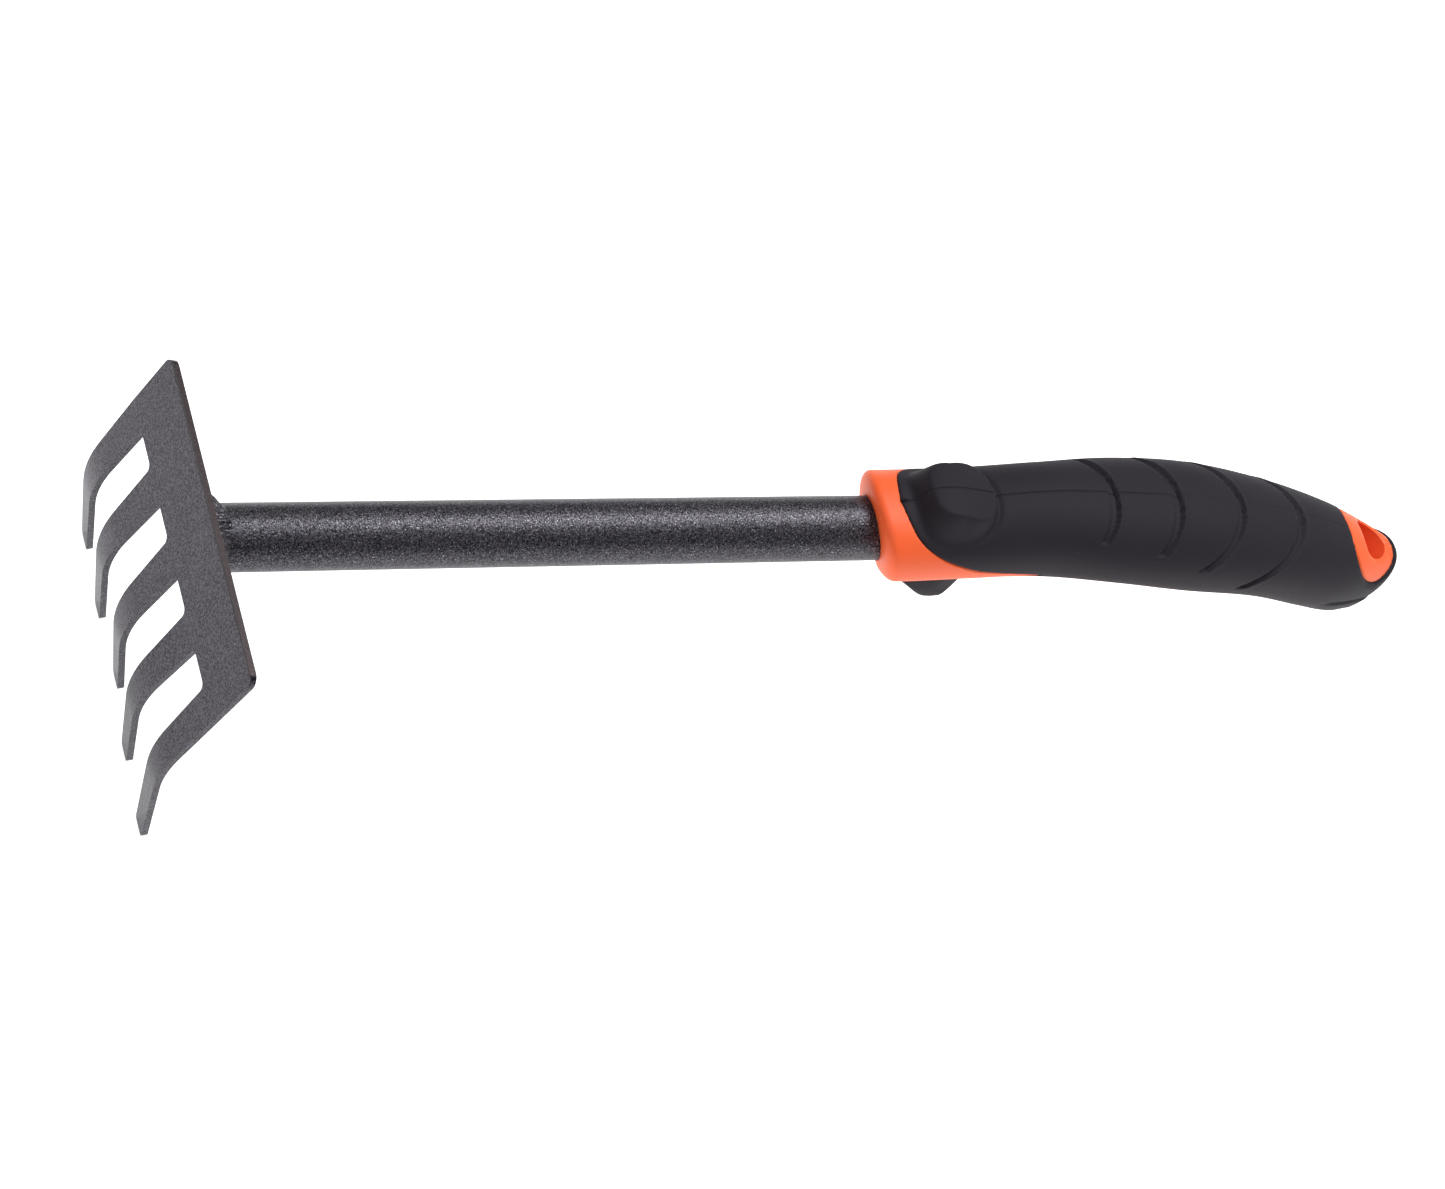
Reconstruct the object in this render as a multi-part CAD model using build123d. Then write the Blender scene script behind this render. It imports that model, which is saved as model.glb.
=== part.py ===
"""Five-tine garden hand rake: stamped steel head, tubular shaft, two-material moulded handle.

Frame: millimetres, +Z up, +X from the handle towards the head, tines pointing down.
The origin is where the shaft's axis meets the front face of the head.
"""
import os
from math import cos, radians, sin, tan

from build123d import *

# ---- shaft ----
TUBE_OD = 18.0
TUBE_WALL = 1.2
TUBE_INNER_END = 290.0      # distance behind the head at which the tube stops inside the handle

# ---- head: one flat blank, stamped and bent ----
HEAD_WIDTH = 98.6
HEAD_THICK = 1.8
HEAD_ANGLE = 78.0           # between the plate and the shaft, in side view
HEAD_TOP = 10.9             # along the plate, from the shaft's axis up to the top edge
BAR_DEPTH = 20.3            # along the plate, from the top edge to the roots of the slots
TINE_PITCH = 22.0
SLOT_ROOT_WIDTH = 11.3
SLOT_FLARE = 0.076          # growth of the slot's width per millimetre below its root
OUTER_TAPER = 0.0235        # how far the outer tines' outer edges come in, per millimetre
BEND_START = 40.3           # along the plate, from the top edge to the start of the bend
BEND_RADIUS = 40.0          # of the front face
TINE_LENGTH = 83.8          # along the plate and round the bend, from the top edge to the tips
TINE_LEAN = (-1.5, 0.0, -0.3, 1.5, 0.3)       # forward lean of each tine from the bar, degrees
TINE_BEND = (26.0, 27.5, 28.0, 27.3, 23.0)    # backward bend of each tine, degrees
BAR_CORNER_R = 3.0
SLOT_CORNER_R = 2.0
TIP_CORNER_R = 1.3

# ---- weld ----
WELD_LEG = 4.2

# ---- handle body: distance behind the head, spine height, half width, half height ----
BODY_STATIONS = (
    (184.0, 1.9, 15.6, 13.2),
    (204.0, 1.1, 16.0, 12.8),
    (228.0, 1.8, 15.7, 13.5),
    (252.0, 3.3, 16.0, 14.4),
    (277.0, 2.3, 18.4, 14.0),
    (304.0, -1.4, 19.2, 15.0),
    (332.0, -7.8, 17.9, 14.2),
    (356.0, -16.8, 16.0, 14.7),
    (370.0, -23.6, 13.2, 15.3),
    (384.0, -31.4, 8.4, 15.8),
)
BODY_FRONT = 184.0
COLLAR_BACK = 208.0         # the body runs straight from its first section to this one
CAP_START = 377.5           # where the closed end begins to round off
CAP_END = 385.0
CAP_POWER = 2.4
SECTION_STEP = 7.5          # spacing of the sections between the collar and the closed end
CAP_STEPS = 7
RUBBER_THICK = 2.6
COLLAR_FRONT = 200.2        # distance behind the head at which the collar's face crosses the shaft's axis
COLLAR_SLANT = 0.38         # how far the face comes forward per millimetre of height
COLLAR_EDGE_R = 2.0
INNER_SETBACK = 1.2         # how far the part under the rubber starts behind the collar's face

# side view of the edge between hard collar and rubber: distance behind the head, height
LOBE_EDGE = ((203.2, 20.0), (203.3, 13.6), (207.0, 10.6), (214.5, 6.5), (226.0, 1.6), (238.0, -1.2),
             (253.0, -5.4))
TONGUE_EDGE = ((253.0, -5.4), (238.0, -6.9), (222.0, -8.0), (208.0, -9.4), (203.5, -12.0), (203.0, -20.0))

# belly inlay: an ellipse seen from below
INLAY_CENTRE = 325.0
INLAY_HALF_LENGTH = 47.0
INLAY_HALF_WIDTH = 14.6

# hanging end, seen square to the sloping top surface; lengths run back from the eye's front edge
TAIL_SLOPE = 28.0           # fall of the top surface, degrees
EYE_FRONT = 364.7           # distance behind the head of the eye's front edge
EYE_LENGTH = 23.8
EYE_HALF_WIDTH = 11.4
EYE_DEPTH = 7.0
HOLE_FRONT = 7.6            # from the eye's front edge to the hole's front edge
HOLE_LENGTH = 12.6
HOLE_HALF_WIDTH = 6.4

# thumb rest on top: side view, and its outline from above
THUMB_SIDE = ((204.5, 5.0), (206.2, 14.0), (208.6, 17.6), (211.2, 20.0), (215.0, 20.4), (231.0, 17.3),
              (232.5, 14.5), (232.5, 5.0))
THUMB_CENTRE = 219.2
THUMB_HALF_LENGTH = 13.3
THUMB_HALF_WIDTH = 12.2

# finger guard below: side view and half width
GUARD_SIDE = ((209.0, -4.0), (214.6, -14.2), (219.6, -19.4), (222.8, -22.2), (226.2, -22.5), (227.6, -20.6),
              (227.9, -4.0))
GUARD_HALF_WIDTH = 11.0

# grip grooves: side view of each centre line, from the ridge down; distance behind the head, height
GROOVES = (
    ((271.6, 18.4), (269.5, 16.2), (267.7, 14.4), (265.2, 11.7)),
    ((294.4, 16.6), (291.5, 14.2), (288.7, 12.0), (284.8, 8.5)),
    ((318.6, 13.2), (313.8, 10.4), (308.3, 7.7), (300.8, 3.3)),
    ((344.0, 6.4), (337.4, 3.2), (328.9, -0.1), (318.7, -6.3)),
)
GROOVE_WIDTH = 2.5
GROOVE_DEPTH = 1.0

WIDE = 60.0                 # reach of cutting prisms, past everything they cut


def at(distance, height, y=0.0):
    """Point a given distance behind the head."""
    return Vector(-distance, y, height)


# ---- head ----
DOWN = Vector(cos(radians(HEAD_ANGLE)), 0, -sin(radians(HEAD_ANGLE)))     # down the plate
FRONT = Vector(sin(radians(HEAD_ANGLE)), 0, cos(radians(HEAD_ANGLE)))     # out of its front face
HEAD_PLANE = Plane(origin=DOWN * -HEAD_TOP, x_dir=DOWN, z_dir=FRONT)      # local x: down from the top edge
BACK_PLANE = HEAD_PLANE.offset(-HEAD_THICK)
SIDE = Plane.XZ             # side view: drawn in (x, z), extruded along Y


def along(start, direction, length):
    """Point reached from start, with direction in degrees below +X."""
    return start + Vector(cos(radians(direction)), -sin(radians(direction))) * length


def tine_profile(lean, bend):
    """Side view of the plate through one tine: two parallel lines of flats and one bend."""
    straight = HEAD_ANGLE - lean
    outline = []
    for inset in (0.0, HEAD_THICK):
        radius = BEND_RADIUS - inset
        top = Vector(HEAD_PLANE.origin.X, HEAD_PLANE.origin.Z) - Vector(FRONT.X, FRONT.Z) * inset
        root = along(top, HEAD_ANGLE, BAR_DEPTH)
        start = along(root, straight, BEND_START - BAR_DEPTH)
        centre = start - Vector(sin(radians(straight)), cos(radians(straight))) * radius
        middle, end = (centre + Vector(sin(radians(a)), cos(radians(a))) * radius
                       for a in (straight + bend / 2, straight + bend))
        tip = along(end, straight + bend, TINE_LENGTH - BEND_START - radians(bend) * BEND_RADIUS)
        outline.append((top, root, start, middle, end, tip))
    edges = []
    for top, root, start, middle, end, tip in outline:
        edges += [Line(top, root), Line(root, start), ThreePointArc(start, middle, end), Line(end, tip)]
    edges += [Line(outline[0][0], outline[1][0]), Line(outline[0][-1], outline[1][-1])]
    return SIDE * make_face(edges)


def slot_cutter(y):
    """Flared slot open at the tips, cut square to the bar."""
    length = TINE_LENGTH
    root, mouth = (SLOT_ROOT_WIDTH + SLOT_FLARE * d for d in (0, length))
    corners = (0, -root / 2), (length, -mouth / 2), (length, mouth / 2), (0, root / 2)
    shape = make_face(Polyline(*corners, close=True))
    shape = fillet(shape.vertices().sort_by(Axis.X)[:2], SLOT_CORNER_R)
    return extrude(HEAD_PLANE * Pos(BAR_DEPTH, y) * shape, WIDE, both=True)


def side_trimmer(sign):
    """What lies outside one outer edge of the head."""
    edge = sign * HEAD_WIDTH / 2
    inward = sign * OUTER_TAPER * 100
    shape = make_face(Polyline((-5, edge), (0, edge), (100, edge - inward), (100, edge + sign * 20),
                               (-5, edge + sign * 20), close=True))
    return extrude(HEAD_PLANE * shape, WIDE, both=True)


slots = [slot_cutter((k - 1.5) * TINE_PITCH) for k in range(4)]
slab_edges = [-HEAD_WIDTH / 2] + [(k - 1.5) * TINE_PITCH for k in range(4)] + [HEAD_WIDTH / 2]
head = Part()
for k in range(5):
    low, high = slab_edges[k], slab_edges[k + 1]
    head += Pos(0, high, 0) * extrude(tine_profile(TINE_LEAN[k], TINE_BEND[k]), high - low)
for cutter in slots + [side_trimmer(-1), side_trimmer(1)]:
    head -= cutter
tip_edges = [e for e in head.edges() if e.center().Z < -60 and abs(e.length - HEAD_THICK) < 0.1]
head = fillet(tip_edges, TIP_CORNER_R)
bar_corners = [e for e in head.edges() if e.center().Z > 5 and abs(e.length - HEAD_THICK) < 0.1]
head = fillet(bar_corners, BAR_CORNER_R)

# ---- shaft, cut to the slope of the plate ----
behind_plate = extrude(BACK_PLANE * Rectangle(4 * WIDE, 4 * WIDE), -2 * WIDE - TUBE_INNER_END)
rod = Pos(-TUBE_INNER_END, 0, 0) * Rot(0, 90, 0) * Cylinder(
    TUBE_OD / 2, TUBE_INNER_END + 10, align=(Align.CENTER, Align.CENTER, Align.MIN))
rod_hole = Pos(-TUBE_INNER_END - 1, 0, 0) * Rot(0, 90, 0) * Cylinder(
    TUBE_OD / 2 - TUBE_WALL, TUBE_INNER_END + 12, align=(Align.CENTER, Align.CENTER, Align.MIN))
tube = (rod - rod_hole) & behind_plate

# ---- weld: a fillet all round the shaft's end, on the back of the plate ----
slope = tan(radians(90 - HEAD_ANGLE))


def shaft_section(offset, grow):
    """Ellipse in which the shaft, grown by a margin, meets a plane behind the plate and parallel to it."""
    plane = BACK_PLANE.offset(-offset)
    axis_point = plane.origin + DOWN * ((Vector(0, 0, 0) - plane.origin).dot(DOWN))
    # the shaft's axis drifts along the plate as the plane moves back
    drift = DOWN * (-(HEAD_THICK + offset) * slope)
    radius = TUBE_OD / 2 + grow
    long_radius = radius / cos(radians(90 - HEAD_ANGLE))
    return Plane(origin=axis_point + drift, x_dir=DOWN, z_dir=FRONT) * Ellipse(long_radius, radius)


weld = loft([shaft_section(0, WELD_LEG), shaft_section(WELD_LEG, 0.15)], ruled=True) - rod
weld &= extrude(HEAD_PLANE * Pos(WIDE + 0.4, 0) * Rectangle(2 * WIDE, 2 * WIDE), WIDE, both=True)
for cutter in slots + [head]:
    weld -= cutter

# ---- handle body and its inset copies ----


def smooth(distance, column):
    """Cubic curve through one column of the stations, with slopes taken from the neighbours."""
    rows = BODY_STATIONS
    k = max(i for i in range(len(rows) - 1) if rows[i][0] <= distance or i == 0)

    def slope_at(i):
        low, high = max(i - 1, 0), min(i + 1, len(rows) - 1)
        return (rows[high][column] - rows[low][column]) / (rows[high][0] - rows[low][0])

    span = rows[k + 1][0] - rows[k][0]
    t = (distance - rows[k][0]) / span
    return ((1 + 2 * t) * (1 - t) ** 2 * rows[k][column] + t * (1 - t) ** 2 * span * slope_at(k)
            + t * t * (3 - 2 * t) * rows[k + 1][column] + t * t * (t - 1) * span * slope_at(k + 1))


def cap_share(distance):
    """Share of the full section that is left as the closed end rounds off."""
    t = max(0.0, (distance - CAP_START) / (CAP_END - CAP_START))
    return (1 - min(t, 0.995) ** CAP_POWER) ** (1 / CAP_POWER)


def body(inset=0.0):
    """Handle body through ellipses square to the spine, drawn in by a margin."""
    count = round((CAP_START - COLLAR_BACK) / SECTION_STEP)
    places = [BODY_FRONT] + [COLLAR_BACK + (CAP_START - COLLAR_BACK) * k / count for k in range(count + 1)]
    cap = CAP_END - CAP_START
    places += [CAP_START + cap * sin(radians(90 * k / CAP_STEPS)) for k in range(1, CAP_STEPS + 1)]
    sections = []
    for distance in places:
        height, half_width, half_height = (smooth(distance, column) for column in (1, 2, 3))
        slope = (smooth(distance - 0.5, 1) - smooth(distance + 0.5, 1))
        share = cap_share(distance)
        margin = min(inset, 0.6 * half_width * share)
        plane = Plane(origin=at(distance - inset * (distance - BODY_FRONT) / (CAP_END - BODY_FRONT), height),
                      x_dir=(0, 1, 0), z_dir=(-1, 0, -slope))
        sections.append(plane * Ellipse(half_width * share - margin, half_height * share - margin))
    return loft(sections, ruled=True)


outer = body()
inner = body(RUBBER_THICK)
groove_floor = body(GROOVE_DEPTH)

# what lies in front of the collar's slanting face
face_plane = Plane(origin=at(COLLAR_FRONT, 0), z_dir=(1, 0, -COLLAR_SLANT))
front_cut = extrude(face_plane * Rectangle(4 * WIDE, 4 * WIDE), WIDE)
outer -= front_cut
inner -= Pos(-INNER_SETBACK, 0, 0) * front_cut
rim = [e for e in outer.edges() if abs(face_plane.to_local_coords(e.center()).Z) < 0.01]
outer = fillet(rim, COLLAR_EDGE_R)

# ---- where the hard plastic shows ----
lobe = Spline(*[(-d, h) for d, h in LOBE_EDGE])
tongue = Spline(*[(-d, h) for d, h in TONGUE_EDGE])
collar_zone = extrude(SIDE * make_face([
    lobe, tongue, Polyline((-TONGUE_EDGE[-1][0], TONGUE_EDGE[-1][1]), (-170, -20), (-170, 20),
                           (-LOBE_EDGE[0][0], LOBE_EDGE[0][1]))]), WIDE, both=True)
inlay_zone = Pos(-INLAY_CENTRE, 0, -WIDE - 6) * extrude(Ellipse(INLAY_HALF_LENGTH, INLAY_HALF_WIDTH), WIDE)


def shield(front, length, half_width):
    """Rounded triangle with its broad side towards the head; lengths run back from the eye's front edge."""
    shares = ((0, 0), (0.12, 0.72), (0.40, 1), (0.80, 0.62), (1, 0))
    points = [(-front - length * back, half_width * out) for back, out in shares]
    side = Spline(*points, tangents=[(0, 1), (0, -1)])
    return make_face([side, side.mirror(Plane.XZ)])


def top_height(distance):
    """Height of the handle's top over the hanging end, on the chord between the last two stations."""
    (d0, h0, _, v0), (d1, h1, _, v1) = BODY_STATIONS[-2:]
    c = cos(radians(TAIL_SLOPE))
    return h0 + v0 / c + (distance - d0) * (h1 + v1 / c - h0 - v0 / c) / (d1 - d0)


SLOPE_X = Vector(cos(radians(TAIL_SLOPE)), 0, sin(radians(TAIL_SLOPE)))
EYE_PLANE = Plane(origin=at(EYE_FRONT, top_height(EYE_FRONT)), x_dir=SLOPE_X,
                  z_dir=(-sin(radians(TAIL_SLOPE)), 0, cos(radians(TAIL_SLOPE))))
eye_zone = extrude(EYE_PLANE.offset(-EYE_DEPTH) * shield(0, EYE_LENGTH, EYE_HALF_WIDTH), WIDE)
hang_hole = extrude(EYE_PLANE * shield(HOLE_FRONT, HOLE_LENGTH, HOLE_HALF_WIDTH), WIDE, both=True)

# ---- handle core, socketed on the shaft ----
core_full = inner + (outer & collar_zone) + (outer & inlay_zone) + (outer & eye_zone)
core = core_full - rod - hang_hole

# ---- rubber grip ----
thumb_face = make_face(Polyline(*[(-d, h) for d, h in THUMB_SIDE], close=True))
thumb_outline = Pos(-THUMB_CENTRE, 0, 0) * Ellipse(THUMB_HALF_LENGTH, THUMB_HALF_WIDTH)
thumb = extrude(SIDE * thumb_face, WIDE, both=True) & extrude(thumb_outline, WIDE)
guard_face = make_face(Polyline(*[(-d, h) for d, h in GUARD_SIDE], close=True))
guard = extrude(SIDE * guard_face, GUARD_HALF_WIDTH, both=True)
grip = outer + thumb + guard - core_full - hang_hole - rod - front_cut
for centre_line in GROOVES:
    strip = trace(Spline(*[(-d, h) for d, h in centre_line]), GROOVE_WIDTH)
    grip -= extrude(SIDE * strip, WIDE, both=True) - groove_floor

NODES = {
    "rake_head": head,
    "weld_bead": weld,
    "shaft_tube": tube,
    "handle_core": core,
    "grip_overmould": grip,
}

os.makedirs("parts", exist_ok=True)
for name, shape in NODES.items():
    shape.label = name
    export_step(shape, f"parts/{name}.step")
    size = shape.bounding_box().size
    print(f"{name:16s} solids {len(shape.solids())}  volume {shape.volume:9.0f} mm3  "
          f"size {size.X:6.1f} x {size.Y:6.1f} x {size.Z:6.1f}")
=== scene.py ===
"""Hand rake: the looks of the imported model. Lengths are worked out in millimetres and stored in metres.

Frame: +X from the handle towards the head, +Z up, tines down; the origin is where the shaft's axis
meets the head's front face. "Behind" means along -X, towards the handle.
"""
from math import cos, pi, radians, sin

import bmesh
import bpy
import numpy as np
from mathutils import Matrix, Vector


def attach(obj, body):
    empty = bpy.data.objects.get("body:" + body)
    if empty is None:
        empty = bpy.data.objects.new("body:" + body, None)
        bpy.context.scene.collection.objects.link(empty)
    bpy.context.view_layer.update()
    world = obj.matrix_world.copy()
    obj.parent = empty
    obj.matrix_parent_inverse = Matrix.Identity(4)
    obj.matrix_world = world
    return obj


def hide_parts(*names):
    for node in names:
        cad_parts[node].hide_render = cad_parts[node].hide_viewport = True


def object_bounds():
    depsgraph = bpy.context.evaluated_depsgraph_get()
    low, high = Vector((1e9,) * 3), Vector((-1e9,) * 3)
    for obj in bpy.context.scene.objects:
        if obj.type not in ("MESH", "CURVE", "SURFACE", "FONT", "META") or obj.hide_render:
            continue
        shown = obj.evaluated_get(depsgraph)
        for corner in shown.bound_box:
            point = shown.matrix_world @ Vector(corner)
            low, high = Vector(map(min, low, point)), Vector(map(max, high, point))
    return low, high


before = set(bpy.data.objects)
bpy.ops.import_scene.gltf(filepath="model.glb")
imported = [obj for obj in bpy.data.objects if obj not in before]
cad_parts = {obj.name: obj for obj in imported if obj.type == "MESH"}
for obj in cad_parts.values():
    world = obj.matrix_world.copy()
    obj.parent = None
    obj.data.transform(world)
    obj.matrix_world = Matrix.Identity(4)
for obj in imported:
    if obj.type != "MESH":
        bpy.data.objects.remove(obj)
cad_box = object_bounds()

MM = 0.001

# ---- shaft and head ----
TUBE_R = 9.0
TUBE_WALL = 1.2
TUBE_BACK = 290.0
HEAD_ANGLE = radians(78.0)
HEAD_THICK = 1.8
WELD_LEG = 4.2
EDGE_ROUND = 0.28           # radius of the head's stamped edges
MERGE_WITHIN = 0.005        # corners of the head's mesh that are one point
FLAT_WITHIN = radians(0.6)  # faces of the head that are one flat face
SHARP_STEEL, SHARP_MOULDING = radians(35), radians(42)      # bends from which an edge is shaded as sharp

# ---- handle: distance behind the head, spine height, half width, half height ----
STATIONS = np.array((
    (184.0, 1.9, 15.6, 13.2),
    (204.0, 1.1, 16.0, 12.8),
    (228.0, 1.8, 15.7, 13.5),
    (252.0, 3.3, 16.0, 14.4),
    (277.0, 2.3, 18.4, 14.0),
    (304.0, -1.4, 19.2, 15.0),
    (332.0, -7.8, 17.9, 14.2),
    (356.0, -16.8, 16.0, 14.7),
    (370.0, -23.6, 13.2, 15.3),
    (384.0, -31.4, 8.4, 15.8),
))
SQUARENESS = 2.2            # exponent of the section's superellipse
CAP_START, CAP_END, CAP_POWER = 377.5, 384.8, 2.4
COLLAR_FRONT = 200.2        # of the collar's face, where it crosses the shaft's axis
COLLAR_SLANT = 0.38         # how far the face comes forward per millimetre of height
LIP_LENGTH = 4.0            # how far back the face has rounded over into the collar's side

# edge of the orange collar and swooshes: distance behind the head, degrees down the side from the ridge
LOBE_EDGE = ((203.2, -14.0), (203.1, 0.0), (203.8, 13.5), (204.9, 26.4), (206.7, 40.0), (209.8, 53.2),
             (214.2, 66.0), (219.2, 77.0), (226.0, 88.5), (232.0, 95.0), (238.5, 101.0), (252.0, 112.0))
TONGUE_EDGE = ((252.0, 112.0), (238.0, 126.0), (222.0, 135.0), (209.0, 146.0), (203.6, 162.0), (203.0, 194.0))
GIRTH = 0.26                # millimetres round the side per degree
INLAY_CENTRE, INLAY_HALF_LENGTH, INLAY_HALF_WIDTH = 325.0, 47.0, 14.6

# hanging end: the plane of the sloping top, and outlines on it measured back from the eye's front edge
TAIL_SLOPE = radians(28.0)
EYE_FRONT = (364.7, -3.9)   # distance behind the head, height
EYE_OUTLINE = ((0.0, 0.0), (0.3, 4.4), (2.6, 8.8), (7.6, 11.4), (14.0, 11.4), (19.4, 9.7), (22.6, 6.0),
               (23.8, 0.0))
HOLE_OUTLINE = ((7.6, 0.0), (7.9, 3.2), (9.4, 5.6), (12.4, 6.4), (16.0, 5.4), (18.8, 3.2), (20.2, 0.0))
HOLE_ABOVE, HOLE_BELOW = 20, 50     # how far the prism of the hole reaches past the eye's plane
HOLE_RUBBER_GAP = 0.5       # how much wider the hole is in the rubber

# thumb rest: ridge line in side view, and its outline from above
THUMB_RIDGE = ((203.0, 14.0), (206.2, 14.1), (207.8, 16.0), (209.2, 17.9), (211.0, 19.5), (215.0, 20.2),
               (218.6, 20.0), (222.8, 19.3), (226.6, 18.4), (231.0, 17.3), (235.0, 16.7))
THUMB_CENTRE, THUMB_HALF_LENGTH, THUMB_HALF_WIDTH = 219.2, 13.3, 12.2
THUMB_CROWN = 0.0115        # fall across the thumb rest, per square millimetre from the middle

# crease low round the closed end: where it starts (distance behind the head, height), and how it falls
CREASE_START, CREASE_SLOPE = (358.5, -21.6), 0.25

# finger guard: side view of its keel
GUARD_KEEL = ((209.6, -11.6), (212.4, -12.8), (214.8, -14.8), (219.4, -19.2), (222.4, -21.6), (224.8, -22.4),
              (227.3, -22.2), (228.5, -21.0), (229.1, -12.0))
GUARD_HALF_WIDTH = 11.2

# grip grooves: distance behind the head at the top, how far they sweep forward, and how many degrees down
# they end
GROOVES = ((268.0, 9.6, 55.0), (289.3, 11.0, 63.0), (312.0, 16.0, 76.0), (335.4, 15.0, 96.0))
GROOVE_DEPTH, GROOVE_WIDTH = 1.25, 3.2

# how the two materials meet, and the mould seam along the top
CORE_UNDER_RUBBER, RUBBER_UNDER_ORANGE = 2.0, 1.3
RUBBER_PROUD, RUBBER_EDGE = 0.12, 0.55      # rubber over the orange, and the rounding of its edge
SEAM_DEPTH, SEAM_WIDTH = 0.34, 0.22


# ---------------------------------------------------------------- curves and fields

def station_value(s, column):
    """Cubic Hermite curve through one column of STATIONS; each slope is the chord of the two neighbours."""
    x, y = STATIONS[:, 0], STATIONS[:, column]
    ends = np.arange(len(x))
    low, high = np.maximum(ends - 1, 0), np.minimum(ends + 1, len(x) - 1)
    slopes = (y[high] - y[low]) / (x[high] - x[low])
    k = np.clip(np.searchsorted(x, s, side="right") - 1, 0, len(x) - 2)
    span = x[k + 1] - x[k]
    t = (s - x[k]) / span
    return ((1 + 2 * t) * (1 - t) ** 2 * y[k] + t * (1 - t) ** 2 * span * slopes[k]
            + t * t * (3 - 2 * t) * y[k + 1] + t * t * (t - 1) * span * slopes[k + 1])


def smoothstep(low, high, value):
    """0 below low, 1 above high, 3t^2 - 2t^3 between."""
    t = np.clip((value - low) / (high - low), 0.0, 1.0)
    return t * t * (3 - 2 * t)


def curve_through(points, per_span=8):
    """Catmull-Rom curve through the points: on each span the cubic whose end slopes are half the chords
    of the neighbouring points."""
    p = np.asarray(points, float)
    p = np.vstack([2 * p[0] - p[1], p, 2 * p[-1] - p[-2]])
    t = np.linspace(0, 1, per_span, endpoint=False)[None, :, None]
    a, b, c, d = p[:-3, None], p[1:-2, None], p[2:-1, None], p[3:, None]
    curve = 0.5 * (2 * b + (c - a) * t + (2 * a - 5 * b + 4 * c - d) * t ** 2
                   + (3 * b - a - 3 * c + d) * t ** 3)
    return np.vstack([curve.reshape(-1, p.shape[1]), p[-2]])


def inside_by(outline, u, v):
    """Signed distance from (u, v) to a closed outline, positive inside: the least distance to its segments,
    with the sign from the number of segments that a ray along u crosses."""
    best = np.full(np.shape(u), np.inf)
    crossings = np.zeros(np.shape(u), int)
    for (au, av), (bu, bv) in zip(outline, np.roll(outline, -1, axis=0)):
        du, dv = bu - au, bv - av
        length = du * du + dv * dv
        if length == 0:
            continue
        t = np.clip(((u - au) * du + (v - av) * dv) / length, 0, 1)
        best = np.minimum(best, np.hypot(u - au - t * du, v - av - t * dv))
        if dv != 0:
            crossings += ((av > v) != (bv > v)) & (u < au + (v - av) * du / dv)
    return np.where(crossings % 2 == 1, best, -best)


def both_sides(half):
    """Closed outline from its half on the +v side."""
    curve = curve_through(half)
    return np.vstack([curve, (curve * (1, -1))[-2:0:-1]])


COLLAR_OUTLINE = np.vstack([curve_through(LOBE_EDGE), curve_through(TONGUE_EDGE)[1:],
                            [(160, 194), (160, -14)]]) * (1, GIRTH)
EYE_SHAPE = both_sides(EYE_OUTLINE)
HOLE_SHAPE = both_sides(HOLE_OUTLINE)


def on_eye_plane(p):
    """Coordinates back along the sloping top from the eye's front edge, and height over that plane."""
    back, up = -p[..., 0] - EYE_FRONT[0], p[..., 2] - EYE_FRONT[1]
    return back * cos(TAIL_SLOPE) - up * sin(TAIL_SLOPE), back * sin(TAIL_SLOPE) + up * cos(TAIL_SLOPE)


def degrees_down(theta):
    """Degrees down either side from the ridge."""
    return np.degrees(np.abs((theta - pi / 2 + pi) % (2 * pi) - pi))


def orange_by(p, theta):
    """How far inside the visible orange a point of the handle's surface lies: the largest of the signed
    distances to the collar on the unrolled side, to the eye on its plane and to the inlay from below."""
    collar = inside_by(COLLAR_OUTLINE, -p[..., 0], GIRTH * degrees_down(theta) + 0 * p[..., 0])
    back, over = on_eye_plane(p)
    eye = np.where(over > -9.0, inside_by(EYE_SHAPE, back, p[..., 1]), -20.0)
    reach = np.hypot((-p[..., 0] - INLAY_CENTRE) / INLAY_HALF_LENGTH, p[..., 1] / INLAY_HALF_WIDTH)
    inlay = np.where(p[..., 2] < station_value(-p[..., 0], 1), (1 - reach) * INLAY_HALF_WIDTH, -20.0)
    return np.maximum(np.maximum(collar, eye), inlay)


# ---------------------------------------------------------------- meshes

def closed_rings(rings, cap_ends=True):
    """Vertices and faces of a closed skin over rings of points (ring, place, xyz): quads between one ring and
    the next, and a fan from the middle of the first and the last ring. Without caps the last ring joins the
    first, as on a torus."""
    count, around = rings.shape[:2]
    vertices = rings.reshape(-1, 3)
    ring = np.arange(count - 1 if cap_ends else count)[:, None]
    place = np.arange(around)[None, :]
    following = (place + 1) % around
    upper = (ring + 1) % count
    quads = np.stack([ring * around + place, ring * around + following,
                      upper * around + following, upper * around + place], -1).reshape(-1, 4)
    faces = quads.tolist()
    if cap_ends:
        vertices = np.vstack([vertices, rings[0].mean(0), rings[-1].mean(0)])
        first, last = count * around, count * around + 1
        base = (count - 1) * around
        faces += [(first, int(b), int(a)) for a, b in zip(place[0], following[0])]
        faces += [(last, int(base + a), int(base + b)) for a, b in zip(place[0], following[0])]
    return vertices, faces


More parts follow.
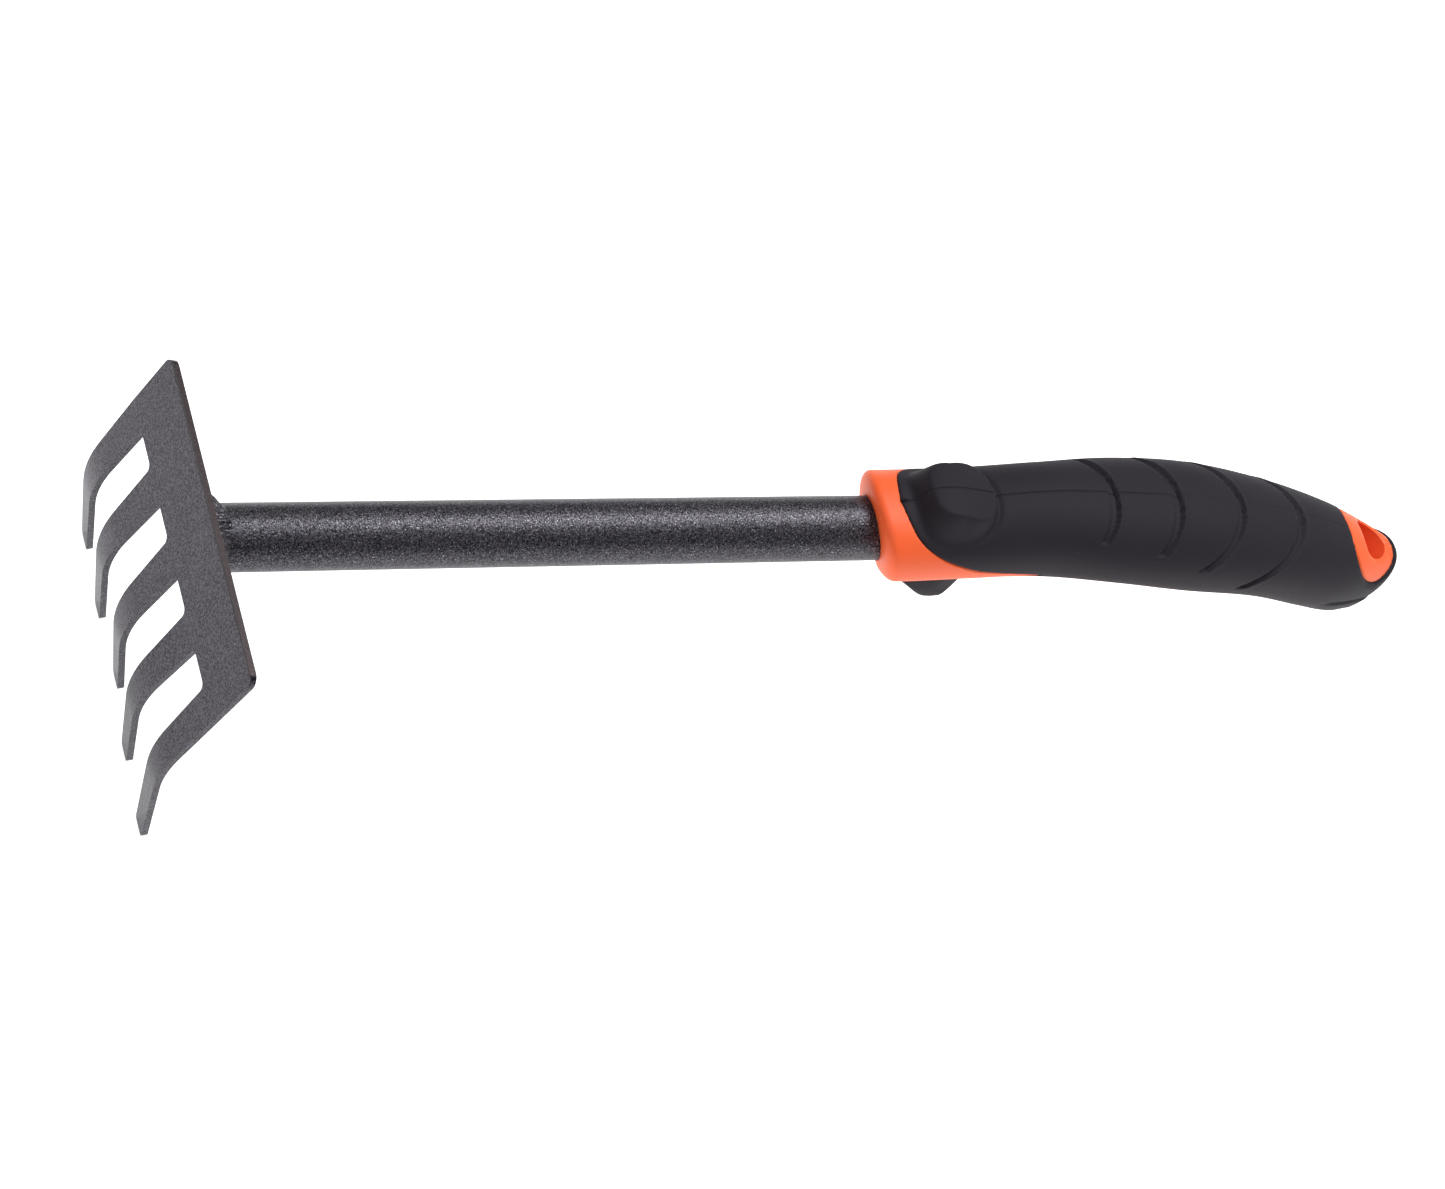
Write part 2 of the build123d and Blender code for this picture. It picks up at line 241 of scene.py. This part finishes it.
def new_piece(name, vertices, faces, material, slot, replaced=None):
    """Object at the origin from millimetre vertices, with outward faces, riding on the only body."""
    mesh = bpy.data.meshes.new(name)
    mesh.from_pydata((np.asarray(vertices) * MM).tolist(), [], faces)
    work = bmesh.new()
    work.from_mesh(mesh)
    if work.calc_volume(signed=True) < 0:
        bmesh.ops.reverse_faces(work, faces=work.faces)
    work.to_mesh(mesh)
    work.free()
    mesh.shade_smooth()
    mesh.materials.append(material)
    piece = bpy.data.objects.new(name, mesh)
    bpy.context.scene.collection.objects.link(piece)
    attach(piece, "root")
    if replaced:
        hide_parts(replaced)
    return piece


def sharpen(piece, angle):
    """Mark the edges that turn by more than an angle, so that they stay crisp under smooth shading."""
    work = bmesh.new()
    work.from_mesh(piece.data)
    for edge in work.edges:
        edge.smooth = edge.calc_face_angle(0.0) < angle
    work.to_mesh(piece.data)
    work.free()


def spread(low, high, step, dense=()):
    """Values from low to high whose spacing is step, divided near each (middle, width, share) of dense by
    1 + share exp(-((x - middle) / width)^2)."""
    fine = np.linspace(low, high, 4000)
    density = np.ones_like(fine) / step
    for middle, width, share in dense:
        density += share / step * np.exp(-((fine - middle) / width) ** 2)
    total = np.concatenate([[0], np.cumsum((density[1:] + density[:-1]) / 2 * np.diff(fine))])
    return np.interp(np.linspace(0, total[-1], int(round(total[-1])) + 1), total, fine)


# ---------------------------------------------------------------- handle

def handle_surface(s, theta):
    """Point of the handle and its section's outward direction. The section is a superellipse of the
    station's half width and half height, square to the spine, and it shrinks towards the closed end
    by (1 - t^p)^(1/p)."""
    height, half_width, half_height = (station_value(s, column) for column in (1, 2, 3))
    fall = station_value(s + 0.5, 1) - station_value(s - 0.5, 1)
    norm = np.hypot(fall, 1.0)
    t = np.clip((s - CAP_START) / (CAP_END - CAP_START), 0, 0.9995)
    share = (1 - t ** CAP_POWER) ** (1 / CAP_POWER)
    c, d = np.cos(theta), np.sin(theta)
    side = np.sign(c) * np.abs(c) ** (2 / SQUARENESS)
    rise = np.sign(d) * np.abs(d) ** (2 / SQUARENESS)
    y = half_width * share * side
    up = half_height * share * rise
    point = np.stack([-s + up * fall / norm, y, height + up / norm], -1)
    out_y, out_up = side / half_width, rise / half_height
    length = np.hypot(out_y, out_up)
    out_y, out_up = out_y / length, out_up / length
    outward = np.stack([out_up * fall / norm, out_y, out_up / norm], -1)
    # over the rounded end the outward direction turns back along the spine
    tilt = (t ** (CAP_POWER - 1))[..., None] * np.ones_like(point)
    spine = np.stack([-1 / norm, 0 * norm, fall / norm], -1)
    outward = outward * (1 - tilt) + spine * tilt
    return point, outward / np.linalg.norm(outward, axis=-1, keepdims=True)


def ridge_height(points, s):
    """Height of a side-view line at a distance behind the head."""
    return np.interp(s, *curve_through(points).T)


def add_thumb_rest(p):
    """Raise the top inside the thumb rest's outline to its ridge line less a crown across, over a flank
    that is widest in front and narrowest behind, and sink a crease just outside the outline's sides and
    back."""
    s, y, z = -p[..., 0], p[..., 1], p[..., 2]
    u, v = (THUMB_CENTRE - s) / THUMB_HALF_LENGTH, y / THUMB_HALF_WIDTH
    reach = np.maximum((np.abs(u) ** 2.6 + np.abs(v) ** 2.6) ** (1 / 2.6), 1e-6)
    inward = np.hypot(THUMB_CENTRE - s, y) * (1 - reach) / reach
    front = np.clip(u / reach, 0, 1) ** 2
    flank = smoothstep(0, 3.8 + 1.2 * front - 2.2 * np.clip(-u / reach, 0, 1), inward)
    top = ridge_height(THUMB_RIDGE, s) - THUMB_CROWN * y ** 2
    on_top = (z > 4.0) & (reach < 1)
    raised = np.where(on_top, np.maximum(top - z, 0.0) * flank, 0.0)
    crease = 0.6 * np.exp(-((inward + 0.3) / 1.0) ** 2) * (1 - front) * (z > 4.0) * (reach < 1.4)
    p[..., 2] += raised - crease
    return p


def add_finger_guard(p):
    """Lower the underside to the guard's keel line, rounded off across by a superellipse."""
    s, y, z = -p[..., 0], p[..., 1], p[..., 2]
    across = np.clip(1 - np.abs(y / GUARD_HALF_WIDTH) ** 5, 0, 1) ** (1 / 5)
    keel = ridge_height(GUARD_KEEL, s)
    inside = (z < 0) & (s > GUARD_KEEL[0][0]) & (s < GUARD_KEEL[-1][0])
    p[..., 2] -= np.where(inside, np.maximum(z - keel, 0.0) * across, 0.0)
    return p


def groove_depth(s, theta):
    """Sunk depth of the grip grooves: a flat channel between a steep front wall and a softer back wall with a
    low lip behind it, along a line that sweeps forward as it comes down each side, start minus sweep times
    (1 - cos(down + 5 degrees))."""
    down = degrees_down(theta)
    depth = np.zeros(np.broadcast(s, theta).shape)
    for start, sweep, end in GROOVES:
        behind = s - start + sweep * (1 - np.cos(np.radians(down + 5)))
        channel = smoothstep(-0.1, 0.5, behind) * (1 - smoothstep(GROOVE_WIDTH - 0.9, GROOVE_WIDTH, behind))
        lip = 0.16 * np.exp(-((behind - GROOVE_WIDTH - 0.4) / 0.5) ** 2)
        depth += (GROOVE_DEPTH * channel - lip) * (1 - smoothstep(end - 3, end, down))
    return depth


def collar_face(z):
    """X of the collar's slanting front face at a height."""
    return -COLLAR_FRONT + COLLAR_SLANT * z


def collar_start(theta):
    """Distance behind the head at which each line along the surface leaves the collar's rounded face."""
    s = np.full_like(theta, COLLAR_FRONT + LIP_LENGTH)
    for _ in range(5):
        point, _ = handle_surface(s, theta)
        s = s + point[..., 0] + LIP_LENGTH - collar_face(point[..., 2])
    return s


def handle_rows(theta, rows):
    """Rows along the handle, sheared near the front to follow the collar's face."""
    shear = collar_start(theta) - COLLAR_FRONT - LIP_LENGTH
    return rows[:, None] + shear * (1 - smoothstep(0, 30, rows - COLLAR_FRONT))[:, None]


def handle_core(material):
    """The orange moulding. Its skin is the handle's surface where the orange shows, and dives under the
    rubber elsewhere. In front a rounded lip leads to a slanting face that closes round the shaft."""
    theta = spread(0, 2 * pi, radians(1.55), ((pi / 2, radians(5), 1.0),))[:-1][None, :]
    rows = spread(COLLAR_FRONT + LIP_LENGTH, CAP_END - 0.005, 0.62,
                  ((COLLAR_FRONT + 8, 16, 0.5), (CAP_END - 12, 12, 0.4), (CAP_END, 1.5, 5)))
    p, outward = handle_surface(handle_rows(theta, rows), theta)
    depth = CORE_UNDER_RUBBER * (1 - smoothstep(-0.8, 0.25, orange_by(p, theta)))
    back, _ = on_eye_plane(p)
    round_over = np.clip(1 + inside_by(HOLE_SHAPE, back, p[..., 1]) / 1.4, 0, 1) ** 2
    depth = depth + 0.9 * round_over * (p[..., 0] < -355) + notch_depth(p)
    p = p - outward * depth[..., None]
    # the face rounds over from the side to the shaft by a superellipse, then turns in under the shaft's skin
    rim = p[0]
    axis = rim * (1, 0, 0)
    radius = np.hypot(rim[:, 1], rim[:, 2])
    toward = (rim - axis) / radius[:, None]
    rings = []
    for turn in np.radians(np.linspace(0, 90, 19)[1:]):
        share = 1 - cos(turn) ** (2 / 2.4)
        ring = axis + toward * (radius - (radius - TUBE_R - 0.1) * share)[:, None]
        ring[:, 0] = collar_face(ring[:, 2]) - LIP_LENGTH * (1 - sin(turn) ** (2 / 2.4))
        rings.append(ring)
    inner = axis + toward * (TUBE_R - 0.4)
    inner[:, 0] = collar_face(inner[:, 2]) - 0.5
    rings.append(inner)
    core = np.vstack([np.array(rings[::-1]), p])
    return new_piece("handle_core_moulding", *closed_rings(core), material, "orange_plastic", "handle_core")


def notch_depth(p):
    """Sunk depth of the pit at the front end of the mould seam."""
    near = np.exp(-((p[..., 0] + 203.9) / 0.9) ** 2 - (p[..., 1] / 0.6) ** 2)
    return 1.1 * near * (p[..., 2] > 0)


def tail_crease(p):
    """Sunk depth of the crease that runs low round the closed end: 0.55 exp(-(below / 0.55)^2), where below
    is the depth under a line that falls from the crease's start, with the rubber a little proud below it."""
    back = -p[..., 0] - CREASE_START[0]
    below = CREASE_START[1] - CREASE_SLOPE * back - p[..., 2]
    fade = smoothstep(0, 6, back) * (np.abs(below) < 6)
    return fade * (0.55 * np.exp(-(below / 0.55) ** 2) - 0.35 * smoothstep(0.2, 1.2, below))


def eye_lip(p, orange):
    """Height of the raised rim of rubber round the back of the eye."""
    behind = smoothstep(372, 379, -p[..., 0])
    return 0.5 * behind * smoothstep(-3.2, -1.2, orange) * (orange > -8)


def rubber_grip(material):
    """The rubber. Its skin is the handle's surface, a touch proud, with the thumb rest, finger guard, grooves
    and mould seam worked in, and it dives under the orange where that shows."""
    theta = spread(0, 2 * pi, radians(1.62), ((pi / 2, radians(3), 3.0),))[:-1][None, :]
    rows = spread(COLLAR_FRONT + 3.0, CAP_END - 0.005, 0.52,
                  ((COLLAR_FRONT + 18, 19, 0.55), (CAP_END, 1.5, 5)))
    s = handle_rows(theta, rows)
    p, outward = handle_surface(s, theta)
    orange = orange_by(p, theta)
    edge = 1 - np.sqrt(1 - (1 - np.clip(-orange / 0.9, 0, 1)) ** 2)
    depth = RUBBER_EDGE * edge + RUBBER_UNDER_ORANGE * smoothstep(-0.15, 0.7, orange) - RUBBER_PROUD
    depth = depth + groove_depth(s, theta)
    seam = np.exp(-(p[..., 1] / SEAM_WIDTH) ** 2) * (p[..., 2] > station_value(s, 1))
    along_seam = 1 - 0.75 * smoothstep(286, 300, s)
    depth = depth + SEAM_DEPTH * seam * along_seam + notch_depth(p) + tail_crease(p) - eye_lip(p, orange)
    p = add_thumb_rest(p)
    p = add_finger_guard(p)
    p = p - outward * depth[..., None]
    return new_piece("rubber_grip", *closed_rings(p), material, "black_rubber", "grip_overmould")


def cut_hanging_hole(piece, slot, margin):
    """Take the hanging hole out of a piece: a prism over its outline, grown by a margin and square to the
    eye."""
    outline = HOLE_SHAPE[::2]
    outward = outline - (HOLE_SHAPE[:, 0].mean(), 0)
    outline = outline + outward / np.linalg.norm(outward, axis=1, keepdims=True) * margin
    along = np.array((-cos(TAIL_SLOPE), 0, -sin(TAIL_SLOPE)))
    up = np.array((-sin(TAIL_SLOPE), 0, cos(TAIL_SLOPE)))
    origin = np.array((-EYE_FRONT[0], 0, EYE_FRONT[1]))
    base = origin + outline[:, :1] * along + outline[:, 1:] * np.array((0, 1, 0))
    prism = np.array([base - HOLE_BELOW * up, base + HOLE_ABOVE * up])
    cutter = new_piece("hole_cutter", *closed_rings(prism), piece.data.materials[0], slot)
    cut = piece.modifiers.new("hanging hole", "BOOLEAN")
    cut.object = cutter
    cut.solver = "EXACT"
    evaluated = piece.evaluated_get(bpy.context.evaluated_depsgraph_get())
    mesh = bpy.data.meshes.new_from_object(evaluated)
    piece.modifiers.clear()
    piece.data = mesh
    bpy.data.objects.remove(cutter)
    sharpen(piece, SHARP_MOULDING)


# ---------------------------------------------------------------- head, shaft and weld

def rake_head(material):
    """The stamped head: the CAD solid, merged to clean flat faces, with its stamped edges rounded."""
    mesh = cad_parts["rake_head"].data.copy()
    work = bmesh.new()
    work.from_mesh(mesh)
    bmesh.ops.remove_doubles(work, verts=work.verts, dist=MERGE_WITHIN * MM)
    bmesh.ops.dissolve_limit(work, angle_limit=FLAT_WITHIN, verts=work.verts, edges=work.edges)
    for edge in work.edges:
        edge.smooth = edge.calc_face_angle(0.0) < SHARP_STEEL
    for face in work.faces:
        face.smooth = True
    work.to_mesh(mesh)
    work.free()
    mesh.materials.clear()
    mesh.materials.append(material)
    piece = bpy.data.objects.new("stamped_head", mesh)
    bpy.context.scene.collection.objects.link(piece)
    bevel = piece.modifiers.new("stamped edges", "BEVEL")
    bevel.width = EDGE_ROUND * MM
    bevel.segments = 3
    bevel.limit_method = "ANGLE"
    bevel.angle_limit = SHARP_STEEL
    bevel.harden_normals = True
    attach(piece, "root")
    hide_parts("rake_head")
    return piece


def plate_back(z):
    """X of the plate's back face at a height on the shaft."""
    return -(HEAD_THICK + z * cos(HEAD_ANGLE)) / sin(HEAD_ANGLE)


def shaft(material):
    """The tube: a ring of wall carried along the axis, its front end cut to the slope of the plate."""
    around = np.linspace(0, 2 * pi, 128, endpoint=False)
    rings = []
    for radius, places in ((TUBE_R, np.linspace(0, 1, 60)), (TUBE_R - TUBE_WALL, np.linspace(1, 0, 4))):
        y, z = radius * np.cos(around), radius * np.sin(around)
        for share in places:
            x = -TUBE_BACK + (plate_back(z) + TUBE_BACK) * share
            rings.append(np.stack([x, y, z], -1))
    return new_piece("shaft", *closed_rings(np.array(rings), cap_ends=False), material, "hammertone_tube",
                     "shaft_tube")


def weld_bead(material):
    """The weld: a bead round the shaft's end whose profile runs from a toe on the plate to a toe on the tube,
    bulging between them, with the ripples of the travelling torch. It is narrow where the plate ends above
    and where the slots begin below."""
    around = np.linspace(0, 2 * pi, 360, endpoint=False)
    knots = np.radians((-90, -62, -48, -30, 0, 40, 62, 90, 118, 140, 180, 210, 228, 242, 270))
    reach = np.array((3.2, 1.5, 0.9, 2.0, WELD_LEG, 3.4, 1.9, 0.9, 1.9, 3.4, WELD_LEG, 2.0, 0.9, 1.5, 3.2))
    angle = (around + pi / 2) % (2 * pi) - pi / 2
    leg = np.interp(angle, knots, reach)
    for _ in range(6):
        leg = (np.roll(leg, 1) + leg + np.roll(leg, -1)) / 3
    ripple = 0.24 * np.sin(around * 30 + 1.3 * np.sin(around * 5)) + 0.16 * np.sin(around * 13 + 1)
    rings = []
    for share in np.linspace(0, 1, 14):
        bulge = 0.42 * sin(pi * share) * leg
        out = leg * (1 - share) ** 1.25 + 0.25 * bulge + ripple * sin(pi * share) - 0.05
        behind = (WELD_LEG + 0.4) * share ** 1.25 + 0.18 * bulge + 0.5 * ripple * sin(pi * share) - 0.05
        rings.append((out, behind))
    level = np.ones_like(leg)
    rings += [(-0.4 * level, WELD_LEG * level), (-0.4 * level, -0.3 * level), (0.9 * leg, -0.3 * level)]
    points = []
    for out, behind in rings:
        y, z = (TUBE_R + out) * np.cos(around), (TUBE_R + out) * np.sin(around)
        points.append(np.stack([plate_back(z) - behind, y, z], -1))
    return new_piece("weld", *closed_rings(np.array(points), cap_ends=False), material, "hammertone_tube",
                     "weld_bead")


# ---------------------------------------------------------------- materials

class Value:
    """A socket that takes part in Python arithmetic; each operation adds a Math node."""

    def __init__(self, shader, socket):
        self.shader, self.socket = shader, socket

    def math(self, operation, *others):
        node = self.shader.node("ShaderNodeMath", {"operation": operation}, dict(enumerate((self,) + others)))
        return Value(self.shader, node.outputs[0])

    def __add__(self, other):
        return self.math("ADD", other)

    __radd__ = __add__

    def __mul__(self, other):
        return self.math("MULTIPLY", other)


class Finish:
    """A material with a Principled shader, and one method that makes any other node."""

    def __init__(self, name, **constants):
        self.material = bpy.data.materials.new(name)
        self.material.use_nodes = True
        self.tree = self.material.node_tree
        self.shader = self.tree.nodes["Principled BSDF"]
        for socket, value in constants.items():
            self.shader.inputs[socket.replace("_", " ")].default_value = value
        self.place = self.node("ShaderNodeTexCoord").outputs["Object"]

    def node(self, kind, settings=None, sockets=None):
        node = self.tree.nodes.new(kind)
        for name, value in (settings or {}).items():
            setattr(node, name, value)
        for key, value in (sockets or {}).items():
            self.feed(node.inputs[key], value)
        return node

    def feed(self, socket, value):
        if isinstance(value, Value):
            value = value.socket
        if isinstance(value, bpy.types.NodeSocket):
            self.tree.links.new(value, socket)
        else:
            socket.default_value = value

    def value(self, kind, settings, sockets, output=0):
        return Value(self, self.node(kind, settings, sockets).outputs[output])

    def noise(self, scale, detail=2.0, roughness=0.5):
        """Noise from 0 to 1 whose features are 1 / scale metres."""
        return self.value("ShaderNodeTexNoise", {}, {"Vector": self.place, "Scale": scale, "Detail": detail,
                                                     "Roughness": roughness})

    def cells(self, scale):
        """Distance to the nearest of scattered points."""
        return self.value("ShaderNodeTexVoronoi", {"feature": "SMOOTH_F1"},
                          {"Vector": self.place, "Scale": scale}, "Distance")

    def across(self, direction):
        """Distance in metres from the origin along a direction."""
        return self.value("ShaderNodeVectorMath", {"operation": "DOT_PRODUCT"},
                          {0: self.place, 1: direction}, "Value")

    def ramp(self, value, low, high, to_low=0.0, to_high=1.0):
        """Value carried smoothly from low..high to to_low..to_high."""
        return self.value("ShaderNodeMapRange", {"interpolation_type": "SMOOTHSTEP"},
                          {"Value": value, "From Min": low, "From Max": high, "To Min": to_low,
                           "To Max": to_high})

    def blend(self, factor, first, second):
        """Colour from first to second as the factor goes from 0 to 1."""
        node = self.node("ShaderNodeMix", {"data_type": "RGBA"})
        self.feed(node.inputs["Factor"], factor)
        for socket, colour in ((node.inputs[6], first), (node.inputs[7], second)):
            self.feed(socket, colour if isinstance(colour, bpy.types.NodeSocket) else (*colour, 1.0))
        return node.outputs[2]

    def paint(self, **sockets):
        for name, value in sockets.items():
            self.feed(self.shader.inputs[name.replace("_", " ")], value)

    def bump(self, height, depth):
        """Normal of a height of 0 to 1 times a depth in millimetres."""
        node = self.node("ShaderNodeBump", {}, {"Height": height, "Distance": depth * MM})
        self.feed(self.shader.inputs["Normal"], node.outputs[0])


def hammertone(name, dark, light, fleck, flecks, plate_edge):
    """Hammertone enamel: metallic paint that has drawn up into small dimples, darker in the pools between,
    with flecks of silver. On the plate it thins to brown along the top edge, behind a dark line that is
    painted shade where the face turns over the edge."""
    finish = Finish(name, IOR=1.5, Specular_IOR_Level=0.2, Coat_Weight=0.04, Coat_Roughness=0.25,
                    Metallic=0.65)
    dimples = finish.cells(1900)
    mottle = finish.noise(2600, 3.0, 0.6)
    cloud = finish.noise(60, 2.0)
    pooled = finish.ramp(dimples * 0.6 + mottle * 0.9, 0.50, 0.88)
    tone = finish.blend(pooled, dark, light)
    spark = finish.ramp(finish.noise(3000, 1.0, 0.4), 0.60, 0.74) * flecks
    tone = finish.blend(spark, tone, fleck)
    if plate_edge:
        up_plate = finish.across((-cos(HEAD_ANGLE), 0, sin(HEAD_ANGLE)))
        # painted shade: a dark line just under the plate's top edge, where the front face turns over
        tone = finish.blend(finish.ramp(up_plate, 10.15 * MM, 10.40 * MM) * 0.8, tone, dark)
        worn = finish.ramp(up_plate, 10.72 * MM, 10.85 * MM) * (0.35 + mottle)
        tone = finish.blend(worn, tone, (0.060, 0.047, 0.048))
    finish.paint(Base_Color=tone, Roughness=0.30 + mottle * 0.20 + cloud * 0.08)
    finish.bump(dimples * 0.7 + mottle * 0.5, 0.10)
    return finish.material


def orange_plastic():
    """Moulded polypropylene: even colour with a faint cloud in it, and a fine satin surface."""
    finish = Finish("orange plastic", IOR=1.49, Specular_IOR_Level=0.25, Subsurface_Weight=0.2,
                    Subsurface_Scale=0.004)
    finish.shader.inputs["Subsurface Radius"].default_value = (1.0, 0.35, 0.15)
    cloud = finish.noise(90, 3.0)
    grain = finish.noise(2600, 2.0)
    finish.paint(Base_Color=finish.blend(cloud, (0.97, 0.128, 0.034), (1.0, 0.148, 0.042)),
                 Roughness=0.40 + cloud * 0.08 + grain * 0.05)
    finish.bump(grain, 0.012)
    return finish.material


def soft_rubber():
    """Soft-touch rubber: nearly black, matt, with a fine spark-eroded grain and faint handling marks."""
    finish = Finish("soft rubber", IOR=1.45, Specular_IOR_Level=0.22)
    grain = finish.noise(3200, 2.0, 0.6)
    cloud = finish.noise(45, 3.0)
    dust = finish.ramp(finish.noise(900, 1.0), 0.74, 0.80) * 0.25
    tone = finish.blend(cloud, (0.0158, 0.0132, 0.0185), (0.0210, 0.0178, 0.0242))
    finish.paint(Base_Color=finish.blend(dust, tone, (0.045, 0.044, 0.048)),
                 Roughness=0.60 + grain * 0.10 + cloud * 0.08)
    finish.bump(grain, 0.030)
    return finish.material


# ---------------------------------------------------------------- build

steel = hammertone("hammertone steel", (0.006, 0.005, 0.007), (0.088, 0.080, 0.098), (0.18, 0.17, 0.20), 0.5,
                   True)
tube_paint = hammertone("hammertone tube", (0.004, 0.0035, 0.005), (0.082, 0.077, 0.092),
                        (0.46, 0.45, 0.49), 0.7, False)
plastic = orange_plastic()
rubber = soft_rubber()

rake_head(steel)
weld_bead(tube_paint)
shaft(tube_paint)
cut_hanging_hole(handle_core(plastic), "orange_plastic", 0.0)
cut_hanging_hole(rubber_grip(rubber), "black_rubber", HOLE_RUBBER_GAP)


# ---------------------------------------------------------------- floor, light and camera

def floor_surface():
    """White paper, lit evenly enough that it reads as plain white."""
    finish = Finish("white floor", Roughness=0.9)
    tone = finish.blend(finish.noise(3.0), (0.86, 0.86, 0.86), (0.90, 0.90, 0.90))
    finish.paint(Base_Color=tone)
    finish.shader.inputs["Emission Color"].default_value = (1, 1, 1, 1)
    finish.shader.inputs["Emission Strength"].default_value = 0.85
    return finish.material


def floor_plane():
    """Square of floor at the height of the tines' tips, in metres."""
    half, height = 4.0, cad_box[0][2]
    corners = [(x * half, y * half, height) for x, y in ((-1, -1), (1, -1), (1, 1), (-1, 1))]
    mesh = bpy.data.meshes.new("floor")
    mesh.from_pydata(corners, [], [(0, 1, 2, 3)])
    mesh.materials.append(floor_surface())
    floor = bpy.data.objects.new("floor", mesh)
    bpy.context.scene.collection.objects.link(floor)


def soft_light(name, place, aim, size, power):
    """Square area light at a place, turned towards a point."""
    data = bpy.data.lights.new(name, "AREA")
    data.size = size
    data.energy = power
    light = bpy.data.objects.new(name, data)
    bpy.context.scene.collection.objects.link(light)
    light.location = place
    light.rotation_euler = (Vector(aim) - Vector(place)).to_track_quat("-Z", "Y").to_euler()


def studio():
    """A sky that grows lighter upwards, with a soft light above and behind and a weaker one in front."""
    world = bpy.data.worlds.new("studio")
    world.use_nodes = True
    tree = world.node_tree
    direction = tree.nodes.new("ShaderNodeTexCoord")
    split = tree.nodes.new("ShaderNodeSeparateXYZ")
    ramp = tree.nodes.new("ShaderNodeValToRGB")
    tree.links.new(direction.outputs["Generated"], split.inputs[0])
    tree.links.new(split.outputs["Z"], ramp.inputs[0])
    for element, (position, level) in zip(ramp.color_ramp.elements, ((0.25, 0.04), (0.85, 0.85))):
        element.position = position
        element.color = (level, level, level * 1.03, 1)
    tree.links.new(ramp.outputs[0], tree.nodes["Background"].inputs["Color"])
    tree.nodes["Background"].inputs["Strength"].default_value = 0.55
    bpy.context.scene.world = world
    middle = (-0.18, 0.0, 0.0)
    soft_light("overhead", (-0.85, -0.26, 1.28), middle, 0.75, 18)
    soft_light("fill", (0.80, 0.45, 1.40), middle, 0.9, 4.5)
    bpy.context.scene.view_settings.view_transform = "Standard"


def camera():
    """Long lens above and in front of the rake, on its +Y side, rolled so that the shaft lies level."""
    right = Vector((-0.8828, 0.26156, 0.39018))
    up = Vector((-0.02012, -0.85092, 0.52491))
    back = Vector((0.46931, 0.45554, 0.75646))
    data = bpy.data.cameras.new("camera")
    data.lens = 112.1
    data.sensor_width = 36.0
    data.clip_start = 0.05
    data.clip_end = 20.0
    eye = bpy.data.objects.new("camera", data)
    bpy.context.scene.collection.objects.link(eye)
    turn = Matrix((right, up, back)).transposed().to_4x4()
    eye.matrix_world = Matrix.Translation(Vector((0.4188, 0.5703, 0.9132))) @ turn
    bpy.context.scene.camera = eye


floor_plane()
studio()
camera()
